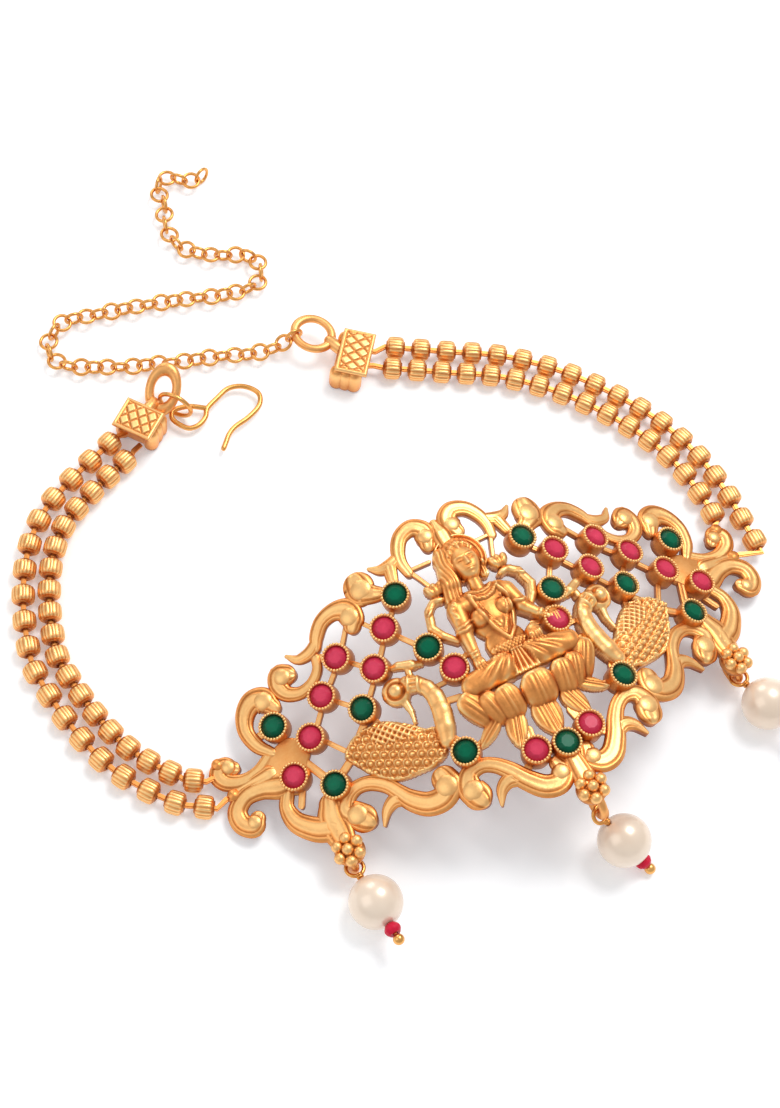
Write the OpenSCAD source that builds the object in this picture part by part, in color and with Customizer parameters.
// Armlet with an arched pierced plaque, four bead strands, clasp ends, hook and chain
// All lengths in millimetres, z = 0 is the table, x runs along the plaque, y towards the clasp

/* [Layout] */
// shift of the whole piece along x, so that its box is centred
shift_x = 6.2; // [-20:0.05:20]
// shift of the whole piece along y, so that its box is centred
shift_y = -32.05; // [-60:0.05:20]
// clearance between two pieces that touch in the real armlet
gap = 0.1; // [0.05:0.05:0.3]

/* [Plaque] */
// radius of the arched crown, at the middle of the metal
crown_r = 46.5; // [40:0.5:70]
// length along the arch from the middle to where the legs begin
crown_len = 20; // [15:0.5:30]
// radius of the nearly straight legs, curving the other way
leg_r = 160; // [60:5:400]
// height of the middle of the metal at the crown
crown_z = 14.8; // [10:0.1:20]
// thickness of the pierced sheet
sheet_t = 1.4; // [1:0.1:2.5]
// height of the round raised ends of the scrolls above the sheet
ridge_h = 0.6; // [0.3:0.05:1.2]
// width of the thin bars between the settings
bar_w = 0.88; // [0.6:0.05:1.4]
// extra outline of the sheet all round
plan_grow = 0.03; // [0:0.01:0.2]

/* [Settings and stones] */
// outer radius of a setting
cup_r = 2.3; // [1.8:0.05:2.8]
// radius of the pocket in a setting
pocket_r = 1.86; // [1.4:0.02:2.2]
// height of a setting above the middle of the metal
cup_h = 2; // [1.4:0.05:2.6]
// girdle radius of a stone
stone_r = 1.7; // [1.3:0.02:2]
// height of a stone from its base to its table
stone_h = 1.5; // [1:0.05:2]
// number of facets round a stone
stone_facets = 8; // [8:1:12]

/* [Bead strands] */
// largest radius of a fluted bead
bead_r = 1.82; // [1.5:0.02:2.2]
// length of a fluted bead along the wire
bead_len = 3; // [2.4:0.1:3.6]
// radius of the hole through a bead
bead_bore = 0.75; // [0.5:0.05:0.8]
// radius of the wire between the beads
wire_r = 0.4; // [0.3:0.05:0.5]
// radius of the sockets that take the strand wires
socket_r = 0.65; // [0.5:0.05:0.8]
// height of the bead centres
strand_z = 1.88; // [1.6:0.02:2.4]

/* [Clasp] */
// length of an end cap along the strand
cap_len = 5.2; // [4:0.1:7]
// width of an end cap
cap_wid = 6.4; // [5:0.1:8]
// height of an end cap without its pad
cap_body_h = 3.9; // [3:0.1:5]
// thickness of the engraved pad on a cap
pad_t = 1; // [0.6:0.1:1.6]
// long half axis of the oval ring on a cap
ring_a = 2.9; // [2:0.1:4]
// wire radius of the oval ring
ring_wire = 0.75; // [0.5:0.05:1]
// radius of the jump ring
jump_r = 2.4; // [1.6:0.1:3]
// wire radius of the jump ring
jump_wire = 0.36; // [0.25:0.02:0.5]
// wire radius of the hook
hook_wire = 0.42; // [0.3:0.02:0.6]

/* [Chain] */
// ring radius of a link, at the middle of its wire
link_r = 1.33; // [1:0.01:1.8]
// wire radius of a link
link_wire = 0.24; // [0.15:0.01:0.35]
// distance from link to link
link_pitch = 2.05; // [1.5:0.01:2.5]

/* [Drops] */
// radius of a pearl
pearl_r = 4; // [3:0.1:5]
// radius of a red bead
red_r = 1.3; // [1:0.05:1.8]
// half length of a red bead
red_half = 0.8; // [0.5:0.05:1.2]
// radius of the ball at the end of a drop pin
ball_r = 0.85; // [0.6:0.05:1.2]
// radius of the pin wire
pin_r = 0.3; // [0.2:0.02:0.4]

/* [Hidden] */
leg_a = crown_len / crown_r * 180 / PI;
crown_cz = crown_z - crown_r;
join_x = crown_r * sin(leg_a);
join_z = crown_cz + crown_r * cos(leg_a);
leg_cx = join_x + leg_r * sin(leg_a);
leg_cz = join_z + leg_r * cos(leg_a);
half_t = sheet_t / 2;
gold = [0.86, 0.62, 0.3];
emerald = [0.02, 0.4, 0.25];
ruby = [0.82, 0.13, 0.3];
cream = [0.95, 0.9, 0.82];

// angle of the plaque at distance u along the arch from its middle
function lean(u) =
    let(a = abs(u))
    sign(u) * (a < crown_len
        ? a / crown_r * 180 / PI
        : leg_a - (a - crown_len) / leg_r * 180 / PI);
function arc_x(u) =
    abs(u) < crown_len
    ? crown_r * sin(lean(u))
    : sign(u) * (leg_cx - leg_r * sin(abs(lean(u))));
function arc_z(u) =
    abs(u) < crown_len
    ? crown_cz + crown_r * cos(lean(u))
    : leg_cz - leg_r * cos(lean(u));
function arc_point(u, v, h) = [
    arc_x(u) + h * sin(lean(u)),
    v,
    arc_z(u) + h * cos(lean(u))
];
// smooth curve through the points p, at parameter s counted in points
function pick(p, i) = p[max(0, min(len(p) - 1, i))];
function smooth(p, s) =
    let(i = min(floor(s), len(p) - 2), t = s - i,
        a = pick(p, i - 1), b = p[i], c = p[i + 1], d = pick(p, i + 2))
    0.5 * (2 * b + (c - a) * t + (2 * a - 5 * b + 4 * c - d) * t * t
    + (3 * b - a - 3 * c + d) * t * t * t);
// running length at each point of a path
function run_len(p, i = 0, s = 0, out = []) =
    i >= len(p) ? out
    : run_len(p, i + 1, s + (i + 1 < len(p) ? norm(p[i + 1] - p[i]) : 0), concat(out, [s]));

// upper curl of the end palmette: columns are u, v and width
end_top = [
    [38.2, 1.8, 1.4], [40.8, 0.5, 1.6], [43.4, 0.3, 2], [45.5, 1.3, 2.4],
    [46, 2.8, 2.6], [44.9, 3.7, 2.6], [43.9, 2.7, 2.4]
];
// lower curl of the end palmette: columns are u, v and width
end_low = [
    [39.3, -3, 3.6], [44.2, -2, 2.6], [46.1, -3.3, 2.6], [46.3, -5.3, 2.6],
    [45.1, -6.6, 2.8], [44.3, -5.7, 2.6]
];
// tongue between the two end curls: columns are u, v and width
end_mid = [
    [39.4, -0.9, 2.8], [44.9, -0.7, 1.4]
];
// wide curl round the outer green stone: columns are u, v and width
arc_end = [
    [37.8, 1.9, 1.4], [39.1, 3.8, 1.8], [39.6, 6.4, 2], [38.6, 8.7, 2.5],
    [36.8, 9.9, 3.2], [35.2, 9.3, 3.4], [33.9, 7, 0.8]
];
// curl with a round bulb, upper edge: columns are u, v and width
curl_out = [
    [25.3, 10.7, 1.2], [27.6, 7.8, 1.4], [29.7, 7.5, 1.6], [31.5, 8.3, 2],
    [32.1, 10, 2.6], [31.5, 11.5, 2.8], [30.7, 11.1, 3.2]
];
// pointed leaf, upper edge: columns are u, v and width
leaf_out = [
    [29.1, 13.5, 0.4], [27.7, 12.1, 1.3], [25.8, 11.8, 1.7], [24.3, 12.6, 1.7]
];
// large curl, upper edge: columns are u, v and width
arc_mid = [
    [24.5, 12.1, 1.5], [21.8, 14.9, 2], [19.6, 15.2, 2.4], [17.9, 14.3, 3.4],
    [17.6, 12.7, 3.3], [18, 11.9, 2.6]
];
// upright bulb, upper edge: columns are u, v and width
curl_in = [
    [11.6, 13.6, 1.6], [14.4, 15.6, 3.6], [14.5, 16.6, 3.9]
];
// link from the bulb to the large curl: columns are u, v and width
curl_link = [
    [17.2, 15.1, 1.6], [15, 14.9, 2.4]
];
// pointed leaf beside the top arc: columns are u, v and width
leaf_in = [
    [11.9, 18.2, 0.5], [10.6, 17.2, 1.4], [7.6, 17.5, 1.7]
];
// foot of that leaf on the green setting: columns are u, v and width
leaf_link = [
    [9.2, 16.6, 1.9], [9.8, 14.6, 1.5]
];
// top arc with its hanging bulb: columns are u, v and width
arc_top = [
    [7.1, 14.7, 1.3], [6.8, 18.5, 1.8], [5.5, 20.1, 2], [3.6, 20.8, 2.3],
    [2.2, 19.9, 2.7], [2.3, 17.4, 2.3]
];
// stem of the lotus bud: columns are u, v and width
bud_stem = [
    [7, 14.9, 0.8], [5.4, 11.4, 0.8]
];
// bar from the stem to the halo: columns are u, v and width
halo_bar = [
    [6.9, 14.9, 0.6], [3.6, 14.6, 0.6]
];
// pointed leaf, lower edge, outer: columns are u, v and width
leaf_low = [
    [28.3, -16.3, 0.5], [27, -14.7, 1.4], [25.4, -14, 1.9], [24, -14.5, 2.1]
];
// long wave, lower edge: columns are u, v and width
wave = [
    [30.5, -13.8, 3.9], [32, -11.2, 2.6], [31, -10, 2], [29.2, -9.4, 1.8],
    [27.1, -9.9, 1.9], [25.2, -11.5, 1.9], [21.2, -16.9, 3], [18.9, -17.3, 3.2],
    [17.5, -16.4, 3.7], [17.4, -15.5, 3.6]
];
// inner wave, lower edge: columns are u, v and width
wave_in = [
    [14.3, -19.7, 3.8], [14.9, -18.1, 3.4], [13.9, -16.5, 2.4], [12, -16.3, 1.9],
    [10.2, -17.3, 1.9], [5.6, -23.2, 2.9], [3.5, -23.8, 3], [2.1, -22.7, 2.9],
    [2.3, -21.3, 2.3]
];
// pointed leaf, lower edge, inner: columns are u, v and width
leaf_bot = [
    [12.4, -22.8, 0.5], [11, -20.9, 1.5], [9.6, -20.3, 2], [8, -20.8, 2]
];
// curl below the outer red stone: columns are u, v and width
arc_low = [
    [38.2, -4.4, 1.9], [39.5, -6.6, 2], [39.2, -9.2, 2.6], [35.8, -12.4, 3.6]
];
// arm that carries the side flower: columns are u, v and width
flower_arm = [
    [33.8, -9.6, 3.4], [34.5, -11.4, 4.2], [34.6, -16.4, 3.4]
];
// neck of the bird: columns are u, v and width
neck = [
    [14.5, -10.3, 2.4], [12.8, -4, 3], [13.9, -1.1, 2.4], [15.2, -0.5, 2.6]
];
// beak of the bird: columns are u, v and width
beak = [
    [16.9, -2, 1.5], [17.1, -5.9, 0.8]
];
// crest of the bird: columns are u, v and width
crest = [
    [16.3, 3, 1], [12.4, 1.5, 1.2]
];
// foot of the crest: columns are u, v and width
crest_foot = [
    [14.4, 0.2, 1.3], [14.2, 1.8, 1.2]
];
// upper arm and hand that hold the bud: columns are u, v and width
raised_arm = [
    [5.1, 1.5, 1.6], [8.1, 4.7, 1.4], [8.2, 6.3, 1.3], [4.9, 10.4, 2.2],
    [4, 10.8, 1.6]
];
// lower arm and hand on the knee: columns are u, v and width
lower_arm = [
    [4.4, 6.6, 2.6], [5.7, 4.2, 2.1], [6.2, -3, 2]
];
// solid part behind the outer stones: columns are u and v
end_plate = [
    [38.2, 2.2], [35.1, 2.6], [33.3, 1.4], [32.8, -1], [34, -2.4], [36.4, -5.4],
    [39.2, -4.4], [40.6, -1.3]
];
// outline of the bird's body: columns are u and v
bird_body = [
    [28.8, -4.9], [28, -3.7], [26.2, -2.7], [23.7, -2.4], [21.3, -2.9], [19.2, -4.3],
    [17.2, -6.2], [16.1, -7.4], [14.9, -7.8], [13.9, -10], [15.4, -12.4], [17.9, -13],
    [20.5, -12.7], [23.1, -12.1], [24.8, -10.9], [26.6, -8.9], [27.9, -6.6]
];
// half outline of the seated figure on her lotus: columns are u and v
figure_side = [
    [0, 9.2], [3, 8.6], [4.9, 6.9], [4.5, 3.2], [4.3, 0.3], [5.2, -2.4],
    [9.6, -3], [10.1, -4.6], [10.4, -5.5], [10.2, -7.6], [8.8, -10], [6, -12],
    [0, -13]
];
// centres of the settings on one half of the plaque: columns are u and v
cups = [
    [10.5, 12.1], [14.2, 8.5], [10.2, 2.6], [8.4, -2],
    [22.3, 8.6], [18.2, 4], [27, 4.8], [22.6, -0.2],
    [35.5, 4.7], [31.4, 0.3], [36.3, -3.5], [31.6, -7.7],
    [12.9, -13.7], [4.3, -18.5]
];
mid_cup = [0, -19.5];
// pairs of settings joined by a bar, by their place in the table above
bar_pairs = [[6, 9], [6, 4], [4, 5], [6, 7], [5, 1], [5, 7], [1, 0], [1, 2], [2, 3]];
// other bars: columns are u and v of one end, u and v of the other end, width
bars = [
    [30.8, 0.3, 28, -3.9, 0.8], [34, -2.2, 32.4, -6, 1.4], [21.7, 9.3, 18.8, 12.6, 0.8],
    [15, 9.6, 17, 12.2, 0.8], [17.7, 3.3, 15.9, 2.9, 0.9], [10.9, 1.8, 13, 1.7, 1],
    [9.1, 3.8, 7.6, 4.4, 1], [7.8, -1.6, 5.4, -1, 1], [9.3, -3.7, 12.3, -3.6, 0.9],
    [9.6, -6, 12.8, -5.4, 1], [13, -12.1, 14.3, -9.9, 1.8], [11.9, -13.6, 8.2, -12.6, 1],
    [12.8, -14.9, 12.8, -16.4, 1.4], [5.6, -19.5, 8.4, -20.2, 1.4], [30.9, -6.8, 27.9, -5.6, 1.3],
    [22.5, -0.9, 25.4, -3.4, 1.4], [22.5, -0.9, 21.7, -3.2, 1.2], [22.9, 9.1, 25.2, 10.9, 1.4],
    [26.9, 6.2, 27.8, 7.9, 1.4], [38, 4.6, 39.6, 4.6, 1.4], [10.2, 12.9, 11.8, 13.8, 1.6],
    [4.3, -18.5, 0, -19.5, 1.4], [4.3, -17, 3.6, -15, 1.6], [28, -9, 26, -9.4, 1.6]
];
// round raised ends of the scrolls: columns are u, v and radius
bulbs = [
    [44.4, 3.2, 1.2], [44.7, -6.1, 1.2], [35.2, 9.2, 1.6], [31, 10.9, 1.4], [17.8, 13.2, 1.6],
    [14.4, 15.9, 1.7], [2.2, 18.5, 1.4], [17.6, -16.3, 1.8], [14.8, -18.8, 1.7],
    [2.6, -22.7, 1.4], [31, -13, 1.7]
];
// small flowers of grains on the lower edge: columns are u and v
flowers = [[-34.6, -17], [0, -26.8], [34.6, -17]];
// middle line of the left pair of strands, from the cap to the plaque
left_path = [
    [-34, 58.2], [-41.9, 55.1], [-48.2, 51.7], [-52.8, 46.7], [-56.4, 39.9], [-58.8, 32.4],
    [-59.1, 28.1], [-58, 19.5], [-55.5, 11.3], [-50.7, 4], [-47.5, 1.5], [-45.5, 0.2]
];
// middle line of the right pair of strands, from the cap to the plaque
right_path = [
    [12.4, 54.4], [20.1, 49.8], [27.5, 45.4], [34, 39.6], [39.2, 33],
    [43.5, 25.5], [46, 17.9], [46.8, 10], [46.5, 4.5], [46.3, 0]
];
// strands: side offset, first bead, last bead (both along the row), number of beads
left_outer = [-1.95, 0.2, 77.4, 19];
left_inner = [1.95, 0.9, 66.8, 19];
right_outer = [1.95, 0.6, 71.2, 18];
right_inner = [-1.95, 0.3, 60.2, 16];
// blind sockets that hold the wire ends: columns are x, y of the mouth and x, y of the end
sockets = [
    [-32.1, 60.5, -30.2, 60.9], [-32.1, 57.1, -30.2, 57.8],
    [10.6, 56.5, 8.8, 57.6], [9.2, 54.3, 7.4, 55.2],
    [-44.7, -0.9, -43.1, -0.9], [-45.1, 2.9, -43.6, 2.6],
    [44.7, -0.9, 43.1, -0.9], [43.7, 5, 43.5, 4.2]
];
// the free chain, from the right cap: columns are x, y and z
chain_path = [
    [-0.35, 64.1, 3.5], [-3.8, 64.2, 2], [-8, 65.2, 1.6], [-11.8, 66.7, 1.6], [-17.8, 68.5, 1.6],
    [-21.7, 69.9, 1.6], [-25.6, 71.2, 1.6], [-29.4, 72.9, 1.6], [-33.1, 74.7, 1.6],
    [-35.6, 76.6, 1.6], [-36.4, 79, 1.6], [-35.6, 81.2, 1.6], [-33.5, 82.8, 1.6],
    [-31.3, 83.5, 1.6], [-27.3, 82.6, 1.6], [-19.6, 80.9, 1.6], [-11.6, 78.6, 1.6],
    [-7.8, 77.3, 1.6], [-3.7, 76.4, 1.6], [-0.6, 76.6, 1.6], [1, 78.4, 1.6],
    [1.2, 80.7, 1.6], [-0.3, 82.5, 1.6], [-3, 83.7, 1.6], [-6.2, 85.6, 1.6],
    [-8.7, 88.2, 1.6], [-9.4, 91.4, 1.6], [-8.9, 94.2, 1.6], [-7.6, 96.8, 1.6],
    [-7.4, 99.4, 1.6], [-6.2, 101.4, 1.6], [-4.1, 101.3, 1.6], [-2.4, 99.8, 1.6],
    [-0.4, 99.2, 1.6], [1.6, 100, 1.6]
];
// hook wire on the table: columns are x and y
hook_path = [
    [-18.2, 59.2], [-20.7, 60.8], [-23.2, 61.2], [-24, 60], [-23.4, 58.4], [-22.3, 57.2],
    [-20.7, 57.1], [-19.2, 57.9], [-18.2, 59.2], [-16, 60.2], [-13.7, 61], [-11.6, 60.5],
    [-10.1, 59.1], [-9.7, 57.6], [-10.7, 56], [-13.1, 54.9], [-15.7, 54.3], [-17.2, 53.5],
    [-18.4, 52.3], [-19.1, 51.6]
];
// the hook in four runs that overlap: first and last point of each
// height of the middle of the hook's wire, held up by the jump ring under its eye
hook_lift = 1.4;
hook_runs = [[0, 17], [16, 33], [31, 53], [52, 76]];
// drops: centre of the loop, centre of the pearl
drop_left = [[-33, -18.8, 2.9], [-32.9, -24.9, 4]];
drop_mid = [[1.1, -29.3, 9], [3.4, -33.5, 5.2]];
drop_right = [[33.1, -18.8, 2.9], [34.4, -24.6, 4]];

module placed() translate([shift_x, shift_y, 0]) children();
// sets a shape on the arched sheet, its z axis square to the metal
module on_arc(u, v, h) translate(arc_point(u, v, h)) rotate([0, lean(u), 0]) children();
// turns the z axis of a shape along the direction d
module along(d)
    rotate([0, acos(d[2] / norm(d)), atan2(d[1], d[0])]) children();
module rod(a, b, r, n = 16)
    translate(a) along(b - a) cylinder(r = r, h = norm(b - a), $fn = n);
module ring(major, minor, n = 32, m = 14)
    rotate_extrude($fn = n) translate([major, 0]) circle(r = minor, $fn = m);

module band(h0, h1) {
    intersection() {
        difference() {
            translate([0, crown_cz]) circle(r = crown_r + h1, $fn = 31);
            translate([0, crown_cz]) circle(r = crown_r + h0, $fn = 31);
        }
        polygon([
            [0, crown_cz],
            [80 * sin(leg_a), crown_cz + 80 * cos(leg_a)],
            [-80 * sin(leg_a), crown_cz + 80 * cos(leg_a)]
        ]);
    }
    for (s = [-1, 1]) scale([s, 1]) intersection() {
        difference() {
            translate([leg_cx, leg_cz]) circle(r = leg_r - h0, $fn = 66);
            translate([leg_cx, leg_cz]) circle(r = leg_r - h1, $fn = 66);
        }
        polygon([
            [leg_cx, leg_cz],
            [leg_cx - 170 * sin(leg_a + 0.1), leg_cz - 170 * cos(leg_a + 0.1)],
            [leg_cx - 10 * sin(leg_a), leg_cz - 175]
        ]);
    }
}
// curved layer of the plaque between the heights h0 and h1 above its middle
module layer(h0, h1) intersection() {
    rotate([90, 0, 0]) linear_extrude(height = 170, center = true) band(h0, h1);
    translate([0, 0, -6]) linear_extrude(height = 48) children();
}
module disc(p, less = 0)
    translate([arc_x(p[0]), p[1]])
        scale([cos(lean(p[0])), 1])
            circle(d = max(p[2] - less, 0.3), $fn = 5);
// edge point of a stroke at its point i, on the side k
function edge(rows, i, k, less) =
    let(p = rows[i], a = pick(rows, i - 1), b = pick(rows, i + 1),
        d = [b[0] - a[0], b[1] - a[1]] / norm([b[0] - a[0], b[1] - a[1]]),
        w = max(p[2] - less, 0.3) / 2)
    [arc_x(p[0] - k * w * d[1]), p[1] + k * w * d[0]];
module stroke(rows, less = 0) {
    last = len(rows) - 1;
    for (i = [0 : last - 1]) hull() polygon([
        edge(rows, i, 1, less), edge(rows, i + 1, 1, less),
        edge(rows, i + 1, -1, less), edge(rows, i, -1, less)
    ]);
    if (rows[0][2] > 2.5) disc(rows[0], less);
    if (rows[last][2] > 2) disc(rows[last], less);
}
module bar(a, b, wide) stroke([[a[0], a[1], wide], [b[0], b[1], wide]]);
module patch(points) polygon([for (p = points) [arc_x(p[0]), p[1]]]);
module both() {
    children();
    mirror([1, 0, 0]) children();
}

module scrolls(less) {
    for (rows = [
        end_top, end_low, end_mid, arc_end, curl_out, leaf_out, arc_mid, curl_in, curl_link,
        leaf_in, arc_top, leaf_low, wave, wave_in, leaf_bot, arc_low
    ]) stroke(rows, less);
}
module sheet_plan() {
    both() {
        scrolls(0);
        for (rows = [
            leaf_link, bud_stem, halo_bar, flower_arm, neck, beak, crest, crest_foot,
            raised_arm, lower_arm
        ]) stroke(rows);
        patch(end_plate);
        patch(bird_body);
        patch(figure_side);
        for (c = bar_pairs) bar(cups[c[0]], cups[c[1]], bar_w);
        for (b = bars) bar([b[0], b[1]], [b[2], b[3]], b[4]);
        disc([17.3, -0.5, 4]);
        for (c = cups) translate([arc_x(c[0]), c[1]]) circle(r = 1.55, $fn = 5);
        }
    stroke([[0, 9, 4], [0, 15, 6]]);
    stroke([[0, 16.6, 3], [0, 18.4, 2.8], [0, 19.7, 1.5]]);
    stroke([[0, -20, 3], [0, -24.1, 3.4], [0, -25.8, 3.8]]);
    difference() {
        translate([0, 12.6]) scale([4.2, 4.6]) circle(r = 1, $fn = 10);
        translate([0, 12.6]) scale([3.2, 3.6]) circle(r = 1, $fn = 10);
    }
}
module cup() {
    difference() {
        translate([0, 0, -0.5]) rotate([0, 0, 10]) cylinder(r = cup_r, h = cup_h + 0.5, $fn = 8);
        pocket();
    }
}
module pocket() translate([0, 0, 0.9]) rotate([0, 0, 10]) cylinder(r = pocket_r, h = 3, $fn = 8);
module flower() {
    cylinder(r = 2.2, h = 0.6, $fn = 6);
    translate([0, 0, 1]) sphere(r = 0.9, $fn = 5);
    for (a = [0 : 60 : 300]) rotate([0, 0, a]) translate([1.7, 0, 0.6]) sphere(r = 0.9, $fn = 5);
}
module eye_ring() rotate([0, 90, 0]) ring(1.95, 0.65, 12, 6);
module egg(u, v, h, rx, ry, rz) on_arc(u, v, h) scale([rx, ry, rz]) sphere(r = 1, $fn = max(rx, ry) > 2 ? 6 : 5);
module limb(a, b, r) hull() {
    egg(a[0], a[1], a[2], r, r, r);
    egg(b[0], b[1], b[2], r, r, r);
}
module figure() {
    egg(0, 11.2, 1.4, 1.7, 2.3, 1.7);
    egg(0, 14.5, 1.1, 1.8, 1.6, 1.5);
    egg(0, 11, 2.9, 0.35, 0.7, 0.5);
    egg(0, 4.2, 0.9, 3.4, 4.6, 1.8);
    egg(0, -1.4, 0.9, 3.1, 3.2, 1.6);
    for (s = [-1, 1]) {
        egg(1.7 * s, 3, 2.2, 1.15, 1.15, 1);
        limb([2.4 * s, -4.6, 1], [8.4 * s, -5.2, 0.8], 1.5);
        limb([5.6 * s, 3.6, 1], [5.6 * s, -2.6, 1.4], 0.8);
        limb([5 * s, 1.6, 0.8], [8.1 * s, 4.9, 0.8], 0.7);
        limb([8.1 * s, 5.2, 0.8], [6.2 * s, 9.4, 0.8], 0.6);
        egg(5 * s, 10.3, 0.9, 1.1, 1.3, 1);
        egg(4.3 * s, -13, 0.7, 1.7, 1.7, 0.9);
    }
    egg(0, -14.2, 0.7, 2.4, 2.3, 0.9);
    for (u = [-7.6, -3.8, 0, 3.8, 7.6]) egg(u, -9.4, 0.6, 1.6, 1.9, 1.1);
}
module bird() {
    egg(22, -7.6, 0.6, 5.6, 3.8, 1.4);
    egg(17.3, -0.5, 0.7, 1.9, 1.9, 1.3);
    egg(17.2, -0.5, 1.7, 0.8, 0.8, 0.8);
    for (p = [
        [23.4, -11.1], [20, -11.9], [16.9, -11], [25, -9]
    ]) egg(p[0], p[1], 0.8, 0.6, 0.6, 0.6);
}
module socket_hole(s, n = 16)
    rod([2 * s[0] - s[2], 2 * s[1] - s[3], strand_z], [s[2], s[3], strand_z], socket_r, n);

module plaque() color(gold) placed() difference() {
    union() {
        layer(-half_t, half_t) offset(delta = plan_grow) sheet_plan();
        for (s = [-1, 1], b = bulbs) egg(s * b[0], b[1], half_t - 0.2, b[2], b[2], ridge_h + 0.2);
        for (s = [-1, 1], c = cups) on_arc(s * c[0], c[1], 0) cup();
        on_arc(0, mid_cup[1], 0) cup();
        for (f = flowers) on_arc(f[0], f[1], 0) flower();
        for (s = [-1, 1]) translate([33 * s, -17, 2.65]) eye_ring();
        for (s = [-1, 1]) translate([33 * s, -17, 3.4]) cylinder(r = 1, h = 1.6, $fn = 5);
        translate([1, -28, 10.6]) eye_ring();
        translate([0.7, -27.4, 12.1]) cylinder(r = 1.1, h = 2.6, $fn = 5);
        figure();
        for (s = [-1, 1]) scale([s, 1, 1]) bird();
        for (s = [-1, 1]) {
            translate([43.5 * s, -0.9, strand_z - 0.9]) cylinder(r = 1.1, h = 1.8, $fn = 6);
            translate([43.5 * s, 4.3, strand_z - 0.9]) cylinder(r = 1, h = 1.8, $fn = 6);
            translate([44 * s, 2.7, strand_z - 0.9]) cylinder(r = 0.9, h = 1.8, $fn = 6);
        }
    }
    for (s = [-1, 1], c = cups) on_arc(s * c[0], c[1], 0) pocket();
    on_arc(0, mid_cup[1], 0) pocket();
    for (i = [4 : 7]) socket_hole(sockets[i], 8);
}

module stone(u, v, tint) color(tint) placed() on_arc(u, v, 0.9 + gap) rotate([0, 0, 10]) {
    cylinder(r1 = stone_r * 0.75, r2 = stone_r, h = stone_h * 0.45, $fn = stone_facets);
    translate([0, 0, stone_h * 0.45]) cylinder(r = stone_r, h = stone_h * 0.1, $fn = stone_facets);
    translate([0, 0, stone_h * 0.55])
        cylinder(r1 = stone_r, r2 = stone_r * 0.6, h = stone_h * 0.45, $fn = stone_facets);
}
// one bead with a collar at each end, its hole along x
module bead() rotate([0, 90, 0]) rotate_extrude($fn = 28) polygon([
    [bead_bore, -bead_len / 2], [bead_r * 0.6, -bead_len / 2],
    [bead_r * 0.62, -bead_len * 0.43], [bead_r * 0.85, -bead_len * 0.38],
    [bead_r, -bead_len * 0.16], [bead_r, bead_len * 0.16],
    [bead_r * 0.85, bead_len * 0.38], [bead_r * 0.62, bead_len * 0.43],
    [bead_r * 0.6, bead_len / 2], [bead_bore, bead_len / 2]
]);
function dense(p, k = 6) = [for (s = [0 : 1 / k : len(p) - 1.001]) smooth(p, s), p[len(p) - 1]];
function turned(p, i, off) =
    let(d = pick(p, i + 1) - pick(p, i - 1))
    p[i] + off * [-d[1], d[0]] / norm(d);
function row_of(p, off) = let(q = dense(p)) [for (i = [0 : len(q) - 1]) turned(q, i, off)];
function keyed(p, l, c) = [for (i = [0 : len(p) - 1]) [l[i], p[i][c]]];
function bead_spots(p, s) =
    let(q = row_of(p, s[0]), l = run_len(q), x = keyed(q, l, 0), y = keyed(q, l, 1),
        step = (s[2] - s[1]) / (s[3] - 1))
    [for (i = [0 : s[3] - 1])
        let(d = s[1] + i * step, a = [lookup(d - 0.6, x), lookup(d - 0.6, y)],
            b = [lookup(d + 0.6, x), lookup(d + 0.6, y)])
        [lookup(d, x), lookup(d, y), atan2(b[1] - a[1], b[0] - a[0])]];
module strand(p, s) color(gold) placed()
    for (b = bead_spots(p, s)) translate([b[0], b[1], strand_z]) rotate([0, 0, b[2]]) bead();
// plan outline of a wire of even width along plan points
function strip(q, w) = concat(
    [for (i = [0 : len(q) - 1]) turned(q, i, w / 2)],
    [for (i = [len(q) - 1 : -1 : 0]) turned(q, i, -w / 2)]
);
// level wire of eight-cornered section with its centre at height z
module level_wire(r, z) {
    translate([0, 0, z - r]) linear_extrude(2 * r) children(0);
    translate([0, 0, z - 0.55 * r]) linear_extrude(1.1 * r) children(1);
}
module wire(p, s, from, to, reach = 1.9) color(gold) placed() {
    q = row_of(p, s[0]);
    l = run_len(q);
    spots = bead_spots(p, s);
    a = spots[0];
    b = spots[len(spots) - 1];
    line = concat(
        [[from[2] * 0.8 + from[0] * 0.2, from[3] * 0.8 + from[1] * 0.2], [from[0], from[1]]],
        [for (t = [-1.7, 1.4]) [a[0] + t * cos(a[2]), a[1] + t * sin(a[2])]],
        [for (i = [0 : len(q) - 1]) if (l[i] > s[1] + 1.8 && l[i] < s[2] - 1.8) q[i]],
        [for (t = [-1.4, reach]) [b[0] + t * cos(b[2]), b[1] + t * sin(b[2])]],
        [[to[0], to[1]], [to[2] * 0.8 + to[0] * 0.2, to[3] * 0.8 + to[1] * 0.2]]
    );
    level_wire(wire_r, strand_z) {
        polygon(strip(line, 1.1 * wire_r));
        polygon(strip(line, 2 * wire_r));
    }
}

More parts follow.
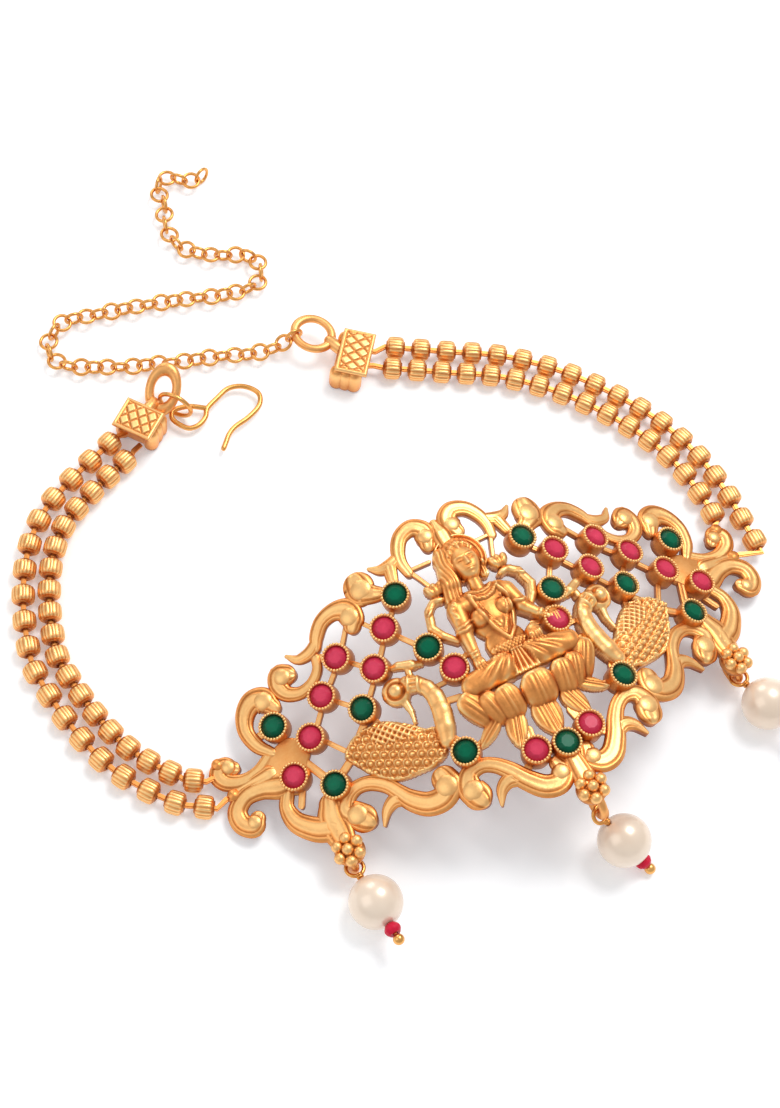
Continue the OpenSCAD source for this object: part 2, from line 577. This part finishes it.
// end cap in its own frame: the ring side is +x, the pad lies on top
module cap_form(long, wide, body_from, body_to) {
    translate([body_from, -wide / 2 + 0.7, 0.1])
        cube([body_to - body_from, wide - 1.4, cap_body_h + 1.1]);
    for (s = [-1, 1], t = [0 : 2])
        translate([body_from + 1 + t * (body_to - body_from - 2) / 2, s * (wide / 2 - 0.8), 0.1]) {
            cylinder(r = 1.25, h = cap_body_h, $fn = 24);
            translate([0, 0, cap_body_h]) sphere(r = 1.25, $fn = 24);
        }
    difference() {
        translate([-long / 2, -wide / 2, 6 - pad_t]) cube([long, wide, pad_t]);
        for (t = [-1, 0, 1], a = [-45, 45])
            rotate([0, 0, a]) translate([-6, t * 1.8 - 0.12, 5.8]) cube([12, 0.24, 1]);
    }
}
module cap_left() color(gold) placed() difference() {
    union() {
        translate([-29.7, 60.1, 0]) rotate([0, 0, 36.7]) cap_form(5.4, 6.5, -1.6, 3.2);
        translate([-23.6, 64, 4]) rotate([0, 0, 50]) rotate([0, -28, 0])
            scale([1.55, 1, 1]) ring(2.1, ring_wire);
        rod([-28, 61.6, 3.6], [-25.9, 62.9, 3.2], 1);
    }
    for (i = [0, 1]) socket_hole(sockets[i]);
}
module cap_right() color(gold) placed() difference() {
    union() {
        translate([6.5, 56, 0]) rotate([0, 0, 140.4]) cap_form(5.2, 8, -1.6, 3.2);
        translate([2.6, 63, 3.6]) rotate([0, 0, 120]) scale([1.15, 1, 1]) ring(2.7, 0.66);
        rod([5.2, 58.4, 3.6], [4.4, 60.6, 3.6], 1);
    }
    for (i = [2, 3]) socket_hole(sockets[i]);
}
module jump_ring() color(gold) placed()
    translate([-22.9, 61.1, 3.12]) rotate([0, 0, 38]) rotate([0, 90, 0]) ring(2.7, jump_wire);
module hook() color(gold) placed() {
    q = dense(hook_path, 4);
    level_wire(hook_wire, hook_lift) {
        for (k = hook_runs) polygon(strip([for (i = [k[0] : k[1]]) q[i]], 1.1 * hook_wire));
        for (k = hook_runs) polygon(strip([for (i = [k[0] : k[1]]) q[i]], 2 * hook_wire));
    }
}
module chain() color(gold) placed() {
    q = dense(chain_path);
    l = run_len(q);
    x = keyed(q, l, 0);
    y = keyed(q, l, 1);
    z = keyed(q, l, 2);
    links = floor(l[len(l) - 1] / link_pitch);
    for (i = [0 : links]) {
        d = i * link_pitch;
        a = [lookup(d - 1, x), lookup(d - 1, y), lookup(d - 1, z)];
        b = [lookup(d + 1, x), lookup(d + 1, y), lookup(d + 1, z)];
        translate([lookup(d, x), lookup(d, y), lookup(d, z)])
            rotate([0, -asin((b[2] - a[2]) / norm(b - a)), atan2(b[1] - a[1], b[0] - a[0])])
                rotate([90 * ((i + 1) % 2), 0, 0])
                    rotate_extrude($fn = 16) translate([link_r, 0]) circle(r = link_wire, $fn = 6);
    }
}

function toward(p) = (p[1] - p[0]) / norm(p[1] - p[0]);
module drop_pin(p) color(gold) placed() {
    d = toward(p);
    side = [d[1], -d[0], 0] / norm([d[1], d[0], 0]);
    tip = p[1] + d * (pearl_r + 2 * red_half + ball_r + 0.2);
    translate(p[0]) along(cross(d, side)) ring(1.3, pin_r, 24, 12);
    rod(p[0] + d * 1.3, tip, pin_r);
    for (k = [1.3, 1.65]) translate(p[0] + d * k) along(d) ring(0.35, 0.24, 20, 10);
    translate(tip) sphere(r = ball_r, $fn = 24);
}
module pearl(p) color(cream) placed() difference() {
    translate(p[1]) sphere(r = pearl_r, $fn = 36);
    rod(p[1] - toward(p) * 6, p[1] + toward(p) * 6, pin_r + gap);
}
module red_bead(p) color(ruby) placed() {
    translate(p[1] + toward(p) * (pearl_r + red_half + 0.1)) along(toward(p)) difference() {
        union() for (s = [0, 1]) mirror([0, 0, s])
            cylinder(r1 = red_r, r2 = red_r * 0.7, h = red_half, $fn = 10);
        cylinder(r = pin_r + gap, h = 4, center = true, $fn = 16);
    }
}

module stone_mid() stone(0, mid_cup[1], emerald);
module stone_l01() stone(-cups[0][0], cups[0][1], emerald);
module stone_l02() stone(-cups[1][0], cups[1][1], ruby);
module stone_l03() stone(-cups[2][0], cups[2][1], emerald);
module stone_l04() stone(-cups[3][0], cups[3][1], ruby);
module stone_l05() stone(-cups[4][0], cups[4][1], ruby);
module stone_l06() stone(-cups[5][0], cups[5][1], ruby);
module stone_l07() stone(-cups[6][0], cups[6][1], ruby);
module stone_l08() stone(-cups[7][0], cups[7][1], emerald);
module stone_l09() stone(-cups[8][0], cups[8][1], emerald);
module stone_l10() stone(-cups[9][0], cups[9][1], ruby);
module stone_l11() stone(-cups[10][0], cups[10][1], ruby);
module stone_l12() stone(-cups[11][0], cups[11][1], emerald);
module stone_l13() stone(-cups[12][0], cups[12][1], emerald);
module stone_l14() stone(-cups[13][0], cups[13][1], ruby);
module stone_r01() stone(cups[0][0], cups[0][1], emerald);
module stone_r02() stone(cups[1][0], cups[1][1], ruby);
module stone_r03() stone(cups[2][0], cups[2][1], emerald);
module stone_r04() stone(cups[3][0], cups[3][1], ruby);
module stone_r05() stone(cups[4][0], cups[4][1], ruby);
module stone_r06() stone(cups[5][0], cups[5][1], ruby);
module stone_r07() stone(cups[6][0], cups[6][1], ruby);
module stone_r08() stone(cups[7][0], cups[7][1], emerald);
module stone_r09() stone(cups[8][0], cups[8][1], emerald);
module stone_r10() stone(cups[9][0], cups[9][1], ruby);
module stone_r11() stone(cups[10][0], cups[10][1], ruby);
module stone_r12() stone(cups[11][0], cups[11][1], emerald);
module stone_r13() stone(cups[12][0], cups[12][1], emerald);
module stone_r14() stone(cups[13][0], cups[13][1], ruby);
module strand_left_outer() strand(left_path, left_outer);
module strand_left_inner() strand(left_path, left_inner);
module strand_right_outer() strand(right_path, right_outer);
module strand_right_inner() strand(right_path, right_inner);
module wire_left_outer() wire(left_path, left_outer, sockets[0], sockets[4]);
module wire_left_inner() wire(left_path, left_inner, sockets[1], sockets[5]);
module wire_right_outer() wire(right_path, right_outer, sockets[2], sockets[6], 2.3);
module wire_right_inner() wire(right_path, right_inner, sockets[3], sockets[7], 1.5);
module drop_pin_left() drop_pin(drop_left);
module pearl_left() pearl(drop_left);
module red_bead_left() red_bead(drop_left);
module drop_pin_mid() drop_pin(drop_mid);
module pearl_mid() pearl(drop_mid);
module red_bead_mid() red_bead(drop_mid);
module drop_pin_right() drop_pin(drop_right);
module pearl_right() pearl(drop_right);
module red_bead_right() red_bead(drop_right);

plaque();
stone_mid();
stone_l01();
stone_l02();
stone_l03();
stone_l04();
stone_l05();
stone_l06();
stone_l07();
stone_l08();
stone_l09();
stone_l10();
stone_l11();
stone_l12();
stone_l13();
stone_l14();
stone_r01();
stone_r02();
stone_r03();
stone_r04();
stone_r05();
stone_r06();
stone_r07();
stone_r08();
stone_r09();
stone_r10();
stone_r11();
stone_r12();
stone_r13();
stone_r14();
strand_left_outer();
strand_left_inner();
strand_right_outer();
strand_right_inner();
wire_left_outer();
wire_left_inner();
wire_right_outer();
wire_right_inner();
cap_left();
cap_right();
jump_ring();
hook();
chain();
drop_pin_left();
drop_pin_mid();
drop_pin_right();
pearl_left();
pearl_mid();
pearl_right();
red_bead_left();
red_bead_mid();
red_bead_right();
